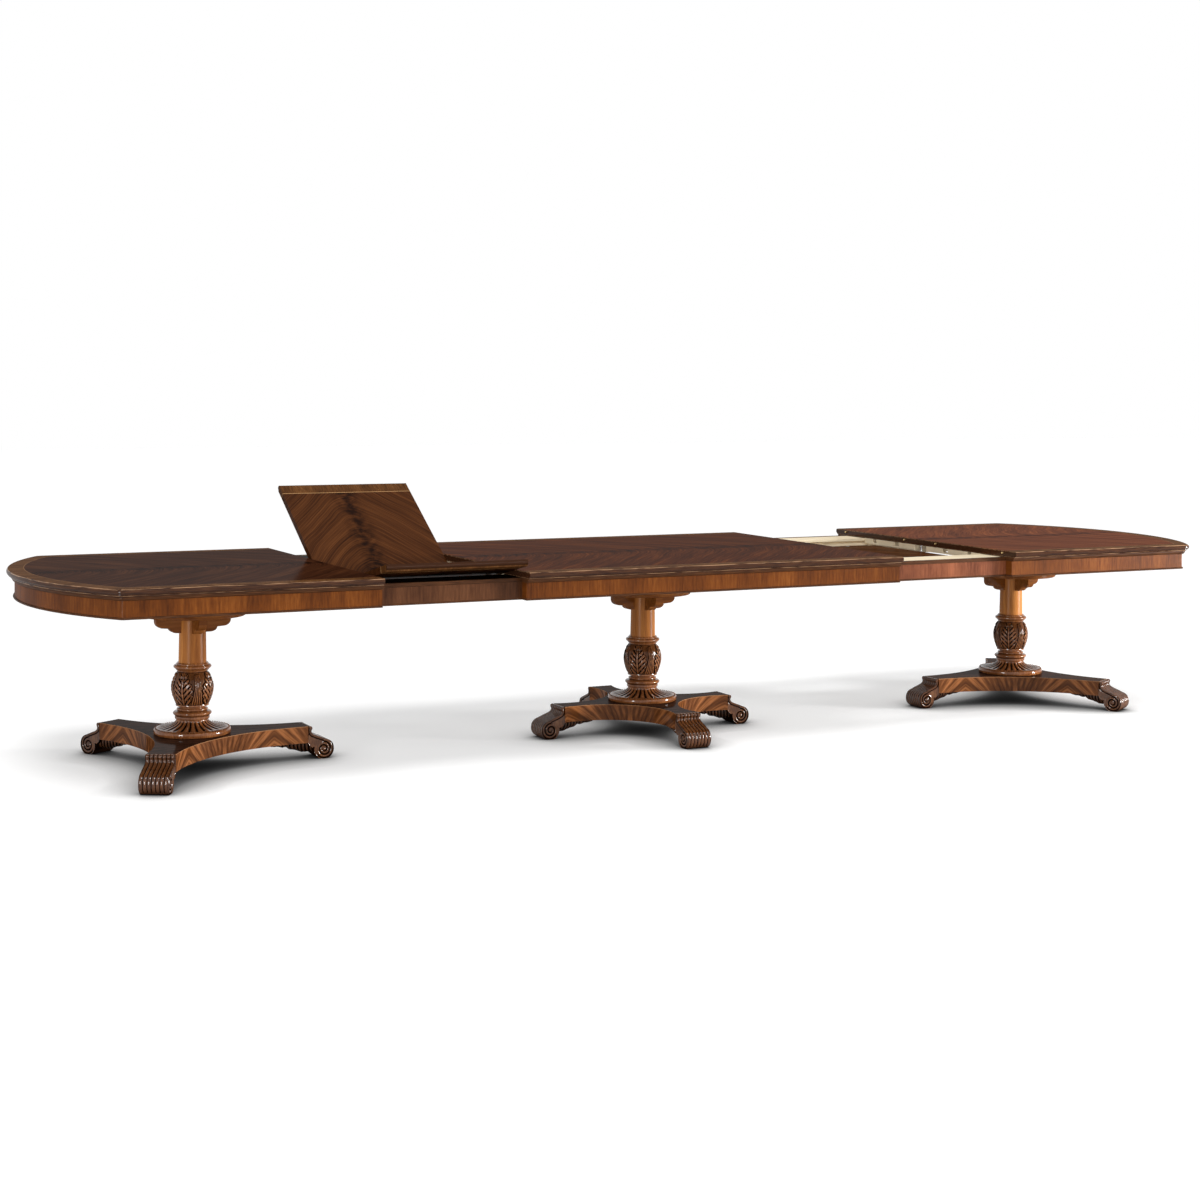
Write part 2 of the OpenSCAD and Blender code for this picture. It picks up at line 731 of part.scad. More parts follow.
// Scroll foot, drawn in the plane of its arm: x beyond the arm's end, y up.
// Its front face lies g deeper, which gives the floor of the grooves between the reeds.
flat_cut = 2;
flat_half = sqrt(pow(volute_r, 2) - pow(volute_r - flat_cut, 2));
leaf_reach = 165;
foot_back = 20;
volute_y = volute_r - flat_cut;
function on_volute(r, a) = [volute_out + r * cos(a), volute_y + r * sin(a)];
function foot_points(g) = concat(
  [[0, plinth_z - 2 - g], [4, plinth_z - g]],
  [for (a = [90:-30:-60]) [9 + (8 - g) * cos(a), plinth_z - 8 + (8 - g) * sin(a)]],
  [[13 - g, plinth_z - 19], [16 - g, plinth_z - 27], [25 - g, plinth_z - 34 - g]],
  [for (a = [75:-15:-30]) on_volute(volute_r - g, a)],
  [for (a = [-45:-15:-60]) on_volute(volute_r, a)],
  [[volute_out + flat_half, 0], [volute_out - flat_half, 0]],
  [for (a = [240:-15:180]) on_volute(volute_r, a)],
  [[16, 30], [4, 24], [-10, 22], [-26, 30], [-34, 38], [-48, 34], [-64, 38], [-74, 48]],
  [[-90, 46], [-106, 52], [-130, 51], [-150, 56], [-leaf_reach, foot_z - 4], [-leaf_reach, foot_z]],
  [[0, foot_z]]
);

// A slice of the foot across its arm: w wide, its middle at y
module foot_slice(y, w, g) {
  translate([0, y + w / 2, 0]) rotate([90, 0, 0]) linear_extrude(w) intersection() {
    polygon(foot_points(g));
    translate([-foot_back, 0]) square([foot_back + volute_out + 2 * volute_r, plinth_z]);
  }
}

// Spiral groove on both sides of a volute, round a raised eye
spiral_out = 32;
spiral_in = 13;
spiral_turn = 660;
spiral_start = 130;
spiral_cut = 4;
spiral_deep = 3;
volute_eye = 2;
volute_eye_r = 8;
function spiral(r0, s) = [for (a = [0:30:spiral_turn])
  on_volute(r0 + s * spiral_cut / 2 - (r0 - spiral_in) * a / spiral_turn, spiral_start - a)];
module volute_grooves() {
  line = spiral(spiral_out, 1);
  back = spiral(spiral_out, -1);
  for (s = [0, 1]) mirror([0, s, 0]) translate([0, -arm_w / 2 + spiral_deep, 0])
    rotate([90, 0, 0]) linear_extrude(spiral_deep + 1)
      polygon(concat(line, [for (i = [len(back) - 1:-1:0]) back[i]]));
}

bracket_w = 70;
reeds = 7;
reed_cut = 3.6;
reed_deep = 3;
module foot() {
  pitch = (arm_w + reed_cut) / reeds;
  difference() {
    union() {
      foot_slice(0, arm_w, reed_deep);
      for (i = [0:reeds - 1]) foot_slice((i - (reeds - 1) / 2) * pitch, pitch - reed_cut, 0);
      translate([0, bracket_w / 2, 0]) rotate([90, 0, 0])
        linear_extrude(bracket_w) polygon(foot_points(reed_deep));
      translate([volute_out, arm_w / 2 + volute_eye, volute_y]) rotate([90, 0, 0])
        cylinder(r = volute_eye_r, h = arm_w + 2 * volute_eye);
    }
    volute_grooves();
  }
}

module feet(n, arm) {
  color(CARVED_WOOD) for (i = [0:n - 1]) rotate([0, 0, i * 360 / n]) translate([arm, 0, 0]) foot();
}

module tie_rod() {
  z0 = foot_z + 1;
  z1 = bearer_z - 1;
  color(STEEL) union() {
    translate([0, 0, z0]) cylinder(r = rod_r, h = z1 - z0);
    translate([0, 0, foot_z + 2]) cylinder(r = nut_r, h = nut_h, $fn = 6);
    translate([0, 0, bearer_z - nut_h]) cylinder(r = nut_r, h = nut_h - 1, $fn = 6);
  }
}

// Places for the pedestals and the end sections
module on_right() {
  translate([ped_x, 0, 0]) rotate([0, 0, 180]) children();
}

module on_left() {
  mirror([1, 0, 0]) on_right() children();
}

module left() {
  mirror([1, 0, 0]) children();
}

module front() {
  mirror([0, 1, 0]) children();
}

centre_top();
front() centre_apron_back();  // centre_apron_front
centre_apron_back();
centre_rails();
centre_bearers();
front() left() well_apron_back();  // left_well_apron_front
left() well_apron_back();  // left_well_apron_back
front() well_apron_back();  // right_well_apron_front
well_apron_back();  // right_well_apron_back
well_planks();
well_guides();
well_straps();
right_carrier();
right_leaf_lower();
right_leaf_upper();
right_leaf_hinges();
head();  // centre_head
shaft();  // centre_shaft
vase();  // centre_vase
bell();  // centre_bell
plinth(4, arm_four);  // centre_plinth
feet(4, arm_four);  // centre_feet
tie_rod();  // centre_tie_rod
left_leaf_front();
left_leaf_back();
left_leaf_front_hinges();
left_leaf_back_hinges();
left_leaf_pins();
left_carrier();
left_leaf_stays();
left() end_top();  // left_top
front() left() end_apron_back();  // left_apron_front
left() end_apron_back();  // left_apron_back
left() end_apron_bow();  // left_apron_bow
left() end_rails();  // left_rails
left() end_runners();  // left_runners
left() end_bearers();  // left_bearers
left() end_pins();  // left_pins
on_left() head();  // left_head
on_left() shaft();  // left_shaft
on_left() vase();  // left_vase
on_left() bell();  // left_bell
on_left() plinth(3, arm_three);  // left_plinth
on_left() feet(3, arm_three);  // left_feet
on_left() tie_rod();  // left_tie_rod
end_top();  // right_top
front() end_apron_back();  // right_apron_front
end_apron_back();  // right_apron_back
end_apron_bow();  // right_apron_bow
end_rails();  // right_rails
end_runners();  // right_runners
end_bearers();  // right_bearers
end_pins();  // right_pins
on_right() head();  // right_head
on_right() shaft();  // right_shaft
on_right() vase();  // right_vase
on_right() bell();  // right_bell
on_right() plinth(3, arm_three);  // right_plinth
on_right() feet(3, arm_three);  // right_feet
on_right() tie_rod();  // right_tie_rod
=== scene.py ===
import math

import bpy
import numpy as np
from mathutils import Matrix, Vector
from mathutils.geometry import delaunay_2d_cdt


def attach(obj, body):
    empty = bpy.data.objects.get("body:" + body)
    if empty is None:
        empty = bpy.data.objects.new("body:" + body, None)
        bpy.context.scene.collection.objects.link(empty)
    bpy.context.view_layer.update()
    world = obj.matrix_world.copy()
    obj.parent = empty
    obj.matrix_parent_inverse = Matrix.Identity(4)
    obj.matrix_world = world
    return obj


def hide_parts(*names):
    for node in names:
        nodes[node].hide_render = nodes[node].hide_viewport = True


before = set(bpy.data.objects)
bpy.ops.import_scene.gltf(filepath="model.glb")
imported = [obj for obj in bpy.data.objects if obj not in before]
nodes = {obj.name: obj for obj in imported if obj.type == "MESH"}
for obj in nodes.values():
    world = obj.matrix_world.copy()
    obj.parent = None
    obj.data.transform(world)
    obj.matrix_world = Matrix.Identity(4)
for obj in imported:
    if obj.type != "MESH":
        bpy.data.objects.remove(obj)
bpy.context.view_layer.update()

MM = 0.001
X, Y, Z = range(3)


def reach(node, axis):
    """How far a node goes along an axis, at its lower and at its upper end, in metres."""
    places = [v.co[axis] for v in nodes[node].data.vertices]
    return round(min(places), 6), round(max(places), 6)


# Sizes taken from the frame, in metres
TOP_Z = reach("centre_top", Z)[1]
HALF_W = reach("centre_top", Y)[1]
APRON_LOW, APRON_HIGH = reach("centre_apron_front", Z)
PLANK_Y = reach("well_planks", Y)[1]
HINGE_Z = sum(reach("left_leaf_pins", Z)) / 2
PED_X = sum(reach("right_shaft", X)) / 2
PLINTH_Z = reach("centre_plinth", Z)[1]
ARM_FOUR = reach("centre_plinth", X)[1]
ARM_THREE = PED_X - reach("right_plinth", X)[0]

# The bowed end of a top is one arc over the whole width
END_X = 2.613
BOW_RISE = 0.227
BOW_R = (HALF_W ** 2 + BOW_RISE ** 2) / (2 * BOW_RISE)
BOW_CX = END_X - BOW_R

# Each section's body, its side of the middle, its plinth's arms and the ways they point, in degrees
SECTIONS = {"left": ("left_end", -1, ARM_THREE, (0, 240, 120)),
            "centre": ("centre", 0, ARM_FOUR, (0, 90, 180, 270)),
            "right": ("right_end", 1, ARM_THREE, (180, 300, 60))}

# Camera: where the photograph was taken from, its yaw, pitch and roll in degrees, and its lens
CAMERA_PLACE = (-4.1038, -7.6928, 1.5286)
CAMERA_TURNS = (26.848, 1.196, 0.419)
CAMERA_LENS = 61.99
CAMERA_SHIFT = -0.1573


def make_camera():
    """The photograph's camera: turned to the right by the yaw, down by the pitch, then rolled."""
    data = bpy.data.cameras.new("camera")
    data.sensor_width = 36
    data.lens = CAMERA_LENS
    data.shift_y = CAMERA_SHIFT
    data.clip_end = 200
    camera = bpy.data.objects.new("camera", data)
    bpy.context.scene.collection.objects.link(camera)
    yaw, pitch, roll = (math.radians(a) for a in CAMERA_TURNS)
    level = Vector((math.cos(yaw), -math.sin(yaw), 0))
    aim = Vector((math.sin(yaw) * math.cos(pitch), math.cos(yaw) * math.cos(pitch), -math.sin(pitch)))
    upright = level.cross(aim)
    right = math.cos(roll) * level + math.sin(roll) * upright
    up = -math.sin(roll) * level + math.cos(roll) * upright
    matrix = Matrix((right, up, -aim)).transposed().to_4x4()
    matrix.translation = Vector(CAMERA_PLACE)
    camera.matrix_world = matrix
    bpy.context.scene.camera = camera


make_camera()


class Value:
    """What a shader node gives. Arithmetic with it adds the nodes that work it out."""

    def __init__(self, shading, socket):
        self.shading = shading
        self.socket = socket

    def __add__(self, other):
        return self.shading.math("ADD", self, other)

    def __sub__(self, other):
        return self.shading.math("SUBTRACT", self, other)

    def __rsub__(self, other):
        return self.shading.math("SUBTRACT", other, self)

    def __mul__(self, other):
        return self.shading.math("MULTIPLY", self, other)

    def __truediv__(self, other):
        return self.shading.math("DIVIDE", self, other)

    def __abs__(self):
        return self.shading.math("ABSOLUTE", self)

    def __lt__(self, other):
        return self.shading.math("LESS_THAN", self, other)

    def __gt__(self, other):
        return self.shading.math("GREATER_THAN", self, other)


class Shading:
    """Short calls that add nodes to a tree."""

    def __init__(self, tree):
        self.tree = tree

    def node(self, kind, **props):
        made = self.tree.nodes.new(kind)
        for key, value in props.items():
            setattr(made, key, value)
        return made

    def put(self, socket, value):
        """Feed a socket with a Value or set it to a number."""
        if isinstance(value, Value):
            self.tree.links.new(value.socket, socket)
        else:
            socket.default_value = value

    def fed(self, kind, values, **props):
        """The first output of a new node that takes these values in the order of its inputs."""
        made = self.node(kind, **props)
        for socket, value in zip(made.inputs, values):
            self.put(socket, value)
        return Value(self, made.outputs[0])

    def math(self, operation, *values):
        return self.fed("ShaderNodeMath", values, operation=operation)

    def length(self, a, b):
        return self.math("SQRT", a * a + b * b)

    def vec(self, x, y, z):
        return self.fed("ShaderNodeCombineXYZ", (x, y, z))

    def span(self, value, a, b, low=0.0, high=1.0):
        """A value's range from a to b, carried over to the range from low to high."""
        return self.fed("ShaderNodeMapRange", (value, a, b, low, high))

    def noise(self, vector, scale, detail=3.0, rough=0.5, warp=0.0):
        made = self.node("ShaderNodeTexNoise")
        self.put(made.inputs["Vector"], vector)
        for key, value in (("Scale", scale), ("Detail", detail), ("Roughness", rough), ("Distortion", warp)):
            self.put(made.inputs[key], value)
        return Value(self, made.outputs[0])

    def ramp(self, factor, *stops):
        """Colours between stops, each of them a place on the ramp and a colour."""
        made = self.node("ShaderNodeValToRGB")
        self.put(made.inputs[0], factor)
        line = made.color_ramp.elements
        while len(line) < len(stops):
            line.new(0.5)
        for mark, (place, colour) in zip(line, stops):
            mark.position = place
            mark.color = (*colour, 1)
        return Value(self, made.outputs[0])

    def mix(self, factor, a, b):
        """Colour a where the factor is 0 and colour b where it is 1."""
        made = self.node("ShaderNodeMix", data_type="RGBA")
        self.put(made.inputs[0], factor)
        for socket, value in ((made.inputs[6], a), (made.inputs[7], b)):
            self.put(socket, value if isinstance(value, Value) else (*value, 1))
        return Value(self, made.outputs[2])


class Look(Shading):
    """A Principled material whose pattern lies in the frame's own places."""

    def __init__(self, name, **sockets):
        self.mat = bpy.data.materials.new(name)
        self.mat.use_nodes = True
        super().__init__(self.mat.node_tree)
        self.shader = self.tree.nodes["Principled BSDF"]
        for key, value in sockets.items():
            self.feed(key.replace("_", " "), value)

    def feed(self, key, value):
        self.put(self.shader.inputs[key], value)

    def place(self):
        """The three coordinates of a point."""
        split = self.node("ShaderNodeSeparateXYZ")
        self.tree.links.new(self.node("ShaderNodeTexCoord").outputs["Object"], split.inputs[0])
        return [Value(self, output) for output in split.outputs]

    def bump(self, height, depth, strength):
        made = self.node("ShaderNodeBump")
        for key, value in (("Height", height), ("Distance", depth), ("Strength", strength)):
            self.put(made.inputs[key], value)
        self.feed("Normal", Value(self, made.outputs[0]))

    def polish(self, grain, low, high, depth=0.0002):
        """Roughness from low to high and a fine relief, both by the grain. This ends a material."""
        self.feed("Roughness", self.span(grain, 0.3, 0.7, low, high))
        self.bump(grain, depth, 0.2)
        return self.mat


# Woods: each stop of a ramp is a tone and its colour
FIELD = ((0.30, (0.012, 0.004, 0.002)), (0.52, (0.044, 0.014, 0.006)), (0.74, (0.105, 0.038, 0.014)))
LEAF_FIELD = ((0.30, (0.012, 0.004, 0.002)), (0.48, (0.062, 0.021, 0.007)), (0.72, (0.155, 0.058, 0.020)))
BAND = ((0.34, (0.040, 0.016, 0.006)), (0.52, (0.110, 0.046, 0.016)), (0.70, (0.200, 0.092, 0.034)))
EDGE = ((0.3, (0.018, 0.006, 0.003)), (0.7, (0.068, 0.025, 0.010)))
APRON = ((0.34, (0.058, 0.015, 0.003)), (0.52, (0.130, 0.036, 0.006)), (0.70, (0.240, 0.074, 0.013)))
DULL = ((0.34, (0.045, 0.016, 0.007)), (0.52, (0.088, 0.033, 0.014)), (0.70, (0.140, 0.056, 0.024)))
TRIM = ((0.3, (0.030, 0.011, 0.005)), (0.7, (0.100, 0.038, 0.014)))
PALE = ((0.3, (0.72, 0.57, 0.38)), (0.55, (0.86, 0.73, 0.52)), (0.75, (0.94, 0.85, 0.67)))
# Painted shadow on the planks in the left well
LEFT_WELL_SHADOW = ((0.3, (0.006, 0.004, 0.003)), (0.7, (0.016, 0.010, 0.007)))
HONEY = ((0.3, (0.150, 0.044, 0.009)), (0.52, (0.370, 0.134, 0.029)), (0.74, (0.620, 0.262, 0.072)))
FLAME = ((0.38, (0.038, 0.012, 0.004)), (0.49, (0.125, 0.042, 0.013)), (0.62, (0.310, 0.114, 0.038)))
PLINTH_DARK = ((0.3, (0.022, 0.009, 0.005)), (0.7, (0.085, 0.034, 0.019)))
CARVING = ((0.32, (0.082, 0.026, 0.008)), (0.55, (0.225, 0.077, 0.023)), (0.75, (0.450, 0.185, 0.060)))

# Single colours: lines let into the veneer, painted highlights along an arris, a leaf's dark rim and painted
# shade in hollows
TOP_LINE = (0.210, 0.105, 0.045)
LEAF_LINE = (0.420, 0.240, 0.105)
ARRIS_HIGHLIGHT = (0.300, 0.170, 0.090)
PLINTH_ARRIS_HIGHLIGHT = (0.340, 0.160, 0.070)
LEAF_RIM = (0.034, 0.013, 0.006)
HOLLOW_SHADE = (0.005, 0.002, 0.001)

PLAIN = (1, 1, 1)

# How far below a flat its own material still reaches, in metres
TOP_SKIN = 0.0007
PLINTH_SKIN = 0.0002
FOOT_SKIN = 0.0001


# Past the edge of any piece, in metres
FAR = 3.0


def shaded(stops, tint):
    """The same ramp, lighter or darker by a factor for each channel."""
    return tuple((place, tuple(c * f for c, f in zip(colour, tint))) for place, colour in stops)


def figure(look, along, across, arch, spread, seed):
    """Feathered figure: streaks that follow arches over a plume, and the plume's own shade."""
    fine_pitch, bold_pitch = 17.0, 3.0
    waviness, plume_w, plume_sway = 0.09, 0.07, 0.12
    root = look.math("SQRT", across * across + spread)
    wave = look.noise(look.vec(along, across, seed), 3.0, 2.0)
    flow = along + (root * arch + wave * waviness)
    drift = across * 0.45
    fine = look.noise(look.vec(flow * fine_pitch, drift, seed), 9.0, 4.0, 0.66)
    bold = look.noise(look.vec(flow * bold_pitch, drift, seed + 3.0), 6.0, 2.0)
    curl = across + (wave - 0.5) * plume_sway
    plume = look.span(abs(curl), 0.0, plume_w, 1.0, 0.0)
    mottle = look.noise(look.vec(along, across, seed + 5.0), 34.0, 3.0)
    shade = plume * look.span(mottle, 0.35, 0.6, 0.02, 0.22)
    return fine * 0.66 + bold * 0.34 - shade, fine


def bordered(look, field, along, inwards, line, tint=PLAIN):
    """A field inside a crossbanded border, with a light line between them."""
    band_w = 0.062
    line_at, line_half = 0.0632, 0.0013
    streak = look.noise(look.vec(along, inwards * 0.10, 0.3), 210.0, 3.0, 0.6)
    broad = look.noise(look.vec(along, 0.0, 0.8), 14.0, 2.0)
    band = look.ramp(streak * 0.6 + broad * 0.4, *shaded(BAND, tint))
    colour = look.mix(inwards < band_w, field, band)
    return look.mix(abs(inwards - line_at) < line_half, colour, line)


def painted_arris_highlights(look, z, grain):
    """Painted highlights: thin pale lines along the upper and the lower arris of a top's edge."""
    upper_drop, upper_half = 0.0022, 0.0013
    lower_drop, lower_half = 0.0248, 0.0009
    upper = look.math("COMPARE", z, TOP_Z - upper_drop, upper_half)
    lower = look.math("COMPARE", z, TOP_Z - lower_drop, lower_half)
    return (upper + lower) * look.span(grain, 0.40, 0.56)


def top_material(name, side=0, tint=PLAIN):
    """Feathered veneer inside a border that follows the bow on the side where there is one."""
    coat, edge_coat = 0.05, 0.35
    look = Look(name, Specular_IOR_Level=0.0, Coat_Weight=coat, Coat_Roughness=0.12)
    x, y, z = look.place()
    inwards = HALF_W - abs(y)
    round_edge, along = x, x
    if side:
        out = x * side - BOW_CX
        from_bow = BOW_R - look.length(out, y)
        on_bow = from_bow < inwards
        arc = look.math("ARCTAN2", y, out) * BOW_R
        round_edge = on_bow * arc + (1.0 - on_bow) * x
        inwards = look.math("MINIMUM", from_bow, inwards)
        along = x * -side
    tone, fine = figure(look, along, y, 0.9, 0.02, 1.7 + 3.0 * side)
    field = look.ramp(tone, *shaded(FIELD, tint))
    veneer = bordered(look, field, round_edge, inwards, TOP_LINE)
    grain = look.noise(look.vec(round_edge * 0.06, inwards, z), 260.0, 3.0)
    # The edge's own wood, with painted highlights along its arrises
    edge = look.mix(painted_arris_highlights(look, z, grain), look.ramp(grain, *EDGE), ARRIS_HIGHLIGHT)
    below = z < TOP_Z - TOP_SKIN
    look.feed("Base Color", look.mix(below, veneer, edge))
    look.feed("Coat Weight", look.span(below, 0.0, 1.0, coat, edge_coat))
    return look.polish(fine, 0.34, 0.46)


def leaf_material(name, tilt=None, outer=FAR, tint=PLAIN):
    """A leaf's veneer, in the plane of its half. A leaf stored folded has no tilt, and shows no border."""
    plume_x = -1.159
    rim_w = 0.0075
    look = Look(name, Specular_IOR_Level=0.0, Coat_Weight=0.08, Coat_Roughness=0.12)
    x, y, z = look.place()
    from_hinge = y
    if tilt is not None:
        turn = math.radians(tilt)
        from_hinge = abs(y * math.cos(turn) + (z - HINGE_Z) * math.sin(turn))
    tone, fine = figure(look, from_hinge, x - plume_x, 1.25, 0.003, 9.2)
    field = look.ramp(tone, *shaded(LEAF_FIELD, tint))
    veneer = bordered(look, field, x, outer - from_hinge, LEAF_LINE, tint)
    look.feed("Base Color", look.mix(from_hinge > outer - rim_w, veneer, LEAF_RIM))
    return look.polish(fine, 0.30, 0.40)


def apron_material(name, side=0, dull=False):
    """Straight-grained veneer laid upright round the apron, between its bead and its cornice."""
    bead_h, cornice_h = 0.0085, 0.0155
    look = Look(name, Specular_IOR_Level=0.0, Coat_Weight=0.20, Coat_Roughness=0.28)
    x, y, z = look.place()
    along = x
    if side:
        along = look.math("ARCTAN2", y, x * side - BOW_CX) * BOW_R
    up = z * 0.10
    fine = look.noise(look.vec(along, up, 0.4), 120.0, 4.0, 0.62)
    broad = look.noise(look.vec(along, up, 0.9), 9.0, 2.0)
    tone = fine * 0.55 + broad * 0.45
    veneer = look.ramp(tone, *(DULL if dull else APRON))
    # Painted light: in the right well the dull veneer is swapped for a lit, lighter copy
    if dull:
        lighter = look.ramp(tone, *shaded(DULL, (1.9, 1.6, 1.7)))
        veneer = look.mix(x > 0.0, veneer, lighter)
    trim = look.ramp(look.noise(look.vec(along * 0.05, z, 0.2), 300.0, 3.0), *TRIM)
    on_trim = look.math("MAXIMUM", z < APRON_LOW + bead_h, z > APRON_HIGH - cornice_h)
    look.feed("Base Color", look.mix(on_trim, veneer, trim))
    return look.polish(fine, 0.34, 0.46)


def plain_wood(name, scale, axis, shades, roughness, coat, coat_roughness):
    """Wood with its grain along one axis."""
    look = Look(name, Specular_IOR_Level=0.0, Coat_Weight=coat, Coat_Roughness=coat_roughness)
    place = look.place()
    place[axis] = place[axis] * 0.07
    where = look.vec(*place)
    fine = look.noise(where, scale, 4.0, 0.6, 0.4)
    broad = look.noise(where, scale * 0.16, 2.0, 0.5, 0.6)
    look.feed("Base Color", look.ramp(fine * 0.5 + broad * 0.5, *shades))
    return look.polish(fine, roughness, roughness + 0.1)


def plank_material(name):
    """Pale planks in both wells, those in the left one painted dark with shadow all but a pale outer edge.
    """
    pale_edge = 0.010
    look = Look(name, Specular_IOR_Level=0.0, Coat_Weight=0.1, Coat_Roughness=0.2)
    x, y, z = look.place()
    grain = look.noise(look.vec(x * 0.07, y, z), 60.0, 4.0, 0.6, 0.4)
    # Painted shadow: the left well's planks go dark inside their pale outer edge
    dark = (x < 0.0) * (abs(y) < PLANK_Y - pale_edge)
    look.feed("Base Color", look.mix(dark, look.ramp(grain, *PALE), look.ramp(grain, *LEFT_WELL_SHADOW)))
    return look.polish(grain, 0.5, 0.6)


def plinth_material(name, centre_x, arms, first):
    """Flame veneer in fans on the hollow sides, with a painted highlight along their top arris, and dark
    polished wood on the top.
    """
    side_coat, top_coat = 0.2, 0.10
    fan_w, fan_start = 0.23, 0.92
    fan_foot, fan_h = 0.065, 0.15
    arris_highlight_w = 0.0022
    look = Look(name, Specular_IOR_Level=0.0, Coat_Weight=side_coat, Coat_Roughness=0.08)
    x, y, z = look.place()
    out = x - centre_x
    step = 2 * math.pi / arms
    turn = look.math("ARCTAN2", y, out) - (math.radians(first) - 4 * math.pi)
    bend = look.math("MODULO", turn, step) - step / 2
    along = look.length(out, y) * look.math("SINE", bend)
    folded = look.math("PINGPONG", along + fan_start, fan_w)
    fan = folded / ((z - fan_foot) / fan_h + 1.0)
    up = z * 0.12
    fine = look.noise(look.vec(fan, up, 0.5), 100.0, 4.0, 0.62)
    broad = look.noise(look.vec(fan, up, 0.1), 32.0, 2.0)
    side = look.ramp(fine * 0.45 + broad * 0.55, *FLAME)
    # Painted highlight: a thin pale line along the top arris of the sides
    side = look.mix(z > PLINTH_Z - arris_highlight_w, side, PLINTH_ARRIS_HIGHLIGHT)
    grain = look.noise(look.vec(out * 0.2, y, 0.3), 40.0, 4.0, 0.6, 0.5)
    on_top = z > PLINTH_Z - PLINTH_SKIN
    look.feed("Base Color", look.mix(on_top, side, look.ramp(grain, *PLINTH_DARK)))
    look.feed("Coat Weight", look.span(on_top, 0.0, 1.0, side_coat, top_coat))
    return look.polish(fine, 0.34, 0.44)


def carved_material(name):
    """Carving with painted shade, near black in its hollows and plain wood on its ridges by the hollow
    attribute, and darker on the feet.
    """
    coat = 0.85
    look = Look(name, Specular_IOR_Level=0.0, Coat_Weight=coat, Coat_Roughness=0.10)
    x, y, z = look.place()
    hollow = Value(look, look.node("ShaderNodeAttribute", attribute_name="hollow").outputs["Fac"])
    grain = look.noise(look.vec(x, y, z * 0.25), 180.0, 4.0, 0.6)
    blotch = look.noise(look.vec(x, y, z), 24.0, 3.0)
    tone = grain * 0.5 + blotch * 0.5
    feet = look.ramp(tone, *shaded(CARVING, (0.43, 0.42, 0.41)))
    wood = look.mix(z > PLINTH_Z - FOOT_SKIN, feet, look.ramp(tone, *CARVING))
    # Painted shade: the deeper a point's hollow, the nearer to black
    look.feed("Base Color", look.mix(look.span(hollow, 0.12, 0.54), wood, HOLLOW_SHADE))
    look.feed("Roughness", look.span(hollow, 0.0, 1.0, 0.26, 0.6))
    look.feed("Coat Weight", look.span(hollow, 0.15, 0.5, coat, 0.0))
    look.bump(grain, 0.0002, 0.25)
    return look.mat


def metal_material(name, colour, roughness):
    """Metal brushed along the table."""
    look = Look(name, Metallic=1.0)
    x, y, z = look.place()
    brush = look.noise(look.vec(x * 0.05, y, z), 900.0, 3.0)
    dark = tuple(0.72 * c for c in colour)
    look.feed("Base Color", look.ramp(brush, (0.3, dark), (0.7, colour)))
    return look.polish(brush, roughness, roughness + 0.12, 0.0001)


LEAF_TINT = (0.80, 0.74, 0.64)
BACK_TILT, FRONT_TILT = 32.5, -12.5
CARVED = carved_material("carved_wood")
BRASS = metal_material("brass", (0.80, 0.58, 0.27), 0.25)
STEEL = metal_material("brushed_steel", (0.62, 0.62, 0.63), 0.28)
SLIDING = apron_material("sliding_apron_veneer", dull=True)
PALE_ALONG = plain_wood("pale_wood_along", 60.0, X, PALE, 0.5, 0.1, 0.12)
PALE_ACROSS = plain_wood("pale_wood_across", 60.0, Y, PALE, 0.5, 0.1, 0.12)
HEAD_SHADES = shaded(HONEY, (0.5, 0.44, 0.42))
FOLDED = leaf_material("leaf_folded_veneer")

BY_NAME = {
    "centre_top": top_material("centre_feather_veneer", 0, (1.5, 1.1, 0.5)),
    "left_top": top_material("left_feather_veneer", -1),
    # Painted reflection: the right top's veneer is lightened for the light it reflects from the right
    "right_top": top_material("right_feather_veneer_painted_light", 1, (3.0, 2.5, 2.0)),
    "left_leaf_back": leaf_material("leaf_back_veneer", BACK_TILT, HALF_W, LEAF_TINT),
    "left_leaf_front": leaf_material("leaf_front_veneer", FRONT_TILT, HALF_W, LEAF_TINT),
    "right_leaf_lower": FOLDED,
    "right_leaf_upper": FOLDED,
    "left_apron_bow": apron_material("left_bow_veneer", -1),
    "right_apron_bow": apron_material("right_bow_veneer", 1),
}
for section, (_, sign, _, turns) in SECTIONS.items():
    fans = plinth_material(section + "_plinth_veneer", sign * PED_X, len(turns), min(turns))
    BY_NAME[section + "_plinth"] = fans

# Materials by a part of the name, the first that fits. A node that none fits is steel.
BY_KIND = {
    "well_apron": SLIDING,
    "apron": apron_material("apron_veneer"),
    "hinges": BRASS,
    "pins": BRASS,
    "planks": plank_material("plank_wood"),
    "runners": PALE_ALONG,
    "bearers": PALE_ALONG,
    "rails": PALE_ACROSS,
    "head": plain_wood("head_wood", 70.0, X, HEAD_SHADES, 0.4, 0.15, 0.12),
    "shaft": plain_wood("shaft_wood", 70.0, Z, HONEY, 0.35, 0.26, 0.26),
    "vase": CARVED,
    "bell": CARVED,
    "feet": CARVED,
}


def dress(name, node):
    """Give a node the material of its name or of its kind."""
    fitting = [material for kind, material in BY_KIND.items() if kind in name]
    node.data.materials.clear()
    node.data.materials.append(BY_NAME.get(name) or (fitting + [STEEL])[0])


for name, node in nodes.items():
    dress(name, node)


# The carving. Its sizes are in mm, and "hollow" says how deep in shade a point lies, from 0 to 1.
BORE_R = 6.5
BELL_BASE, BELL_TOP = (round(z / MM, 3) for z in reach("centre_bell", Z))
VASE_TOP = round(reach("centre_vase", Z)[1] / MM, 3)
RELIEF_TOP, RELIEF_BASE = 366.0, 242.0
# Painted shade on the plain turned parts, given as their hollow
SMOOTH_SHADE = 0.15


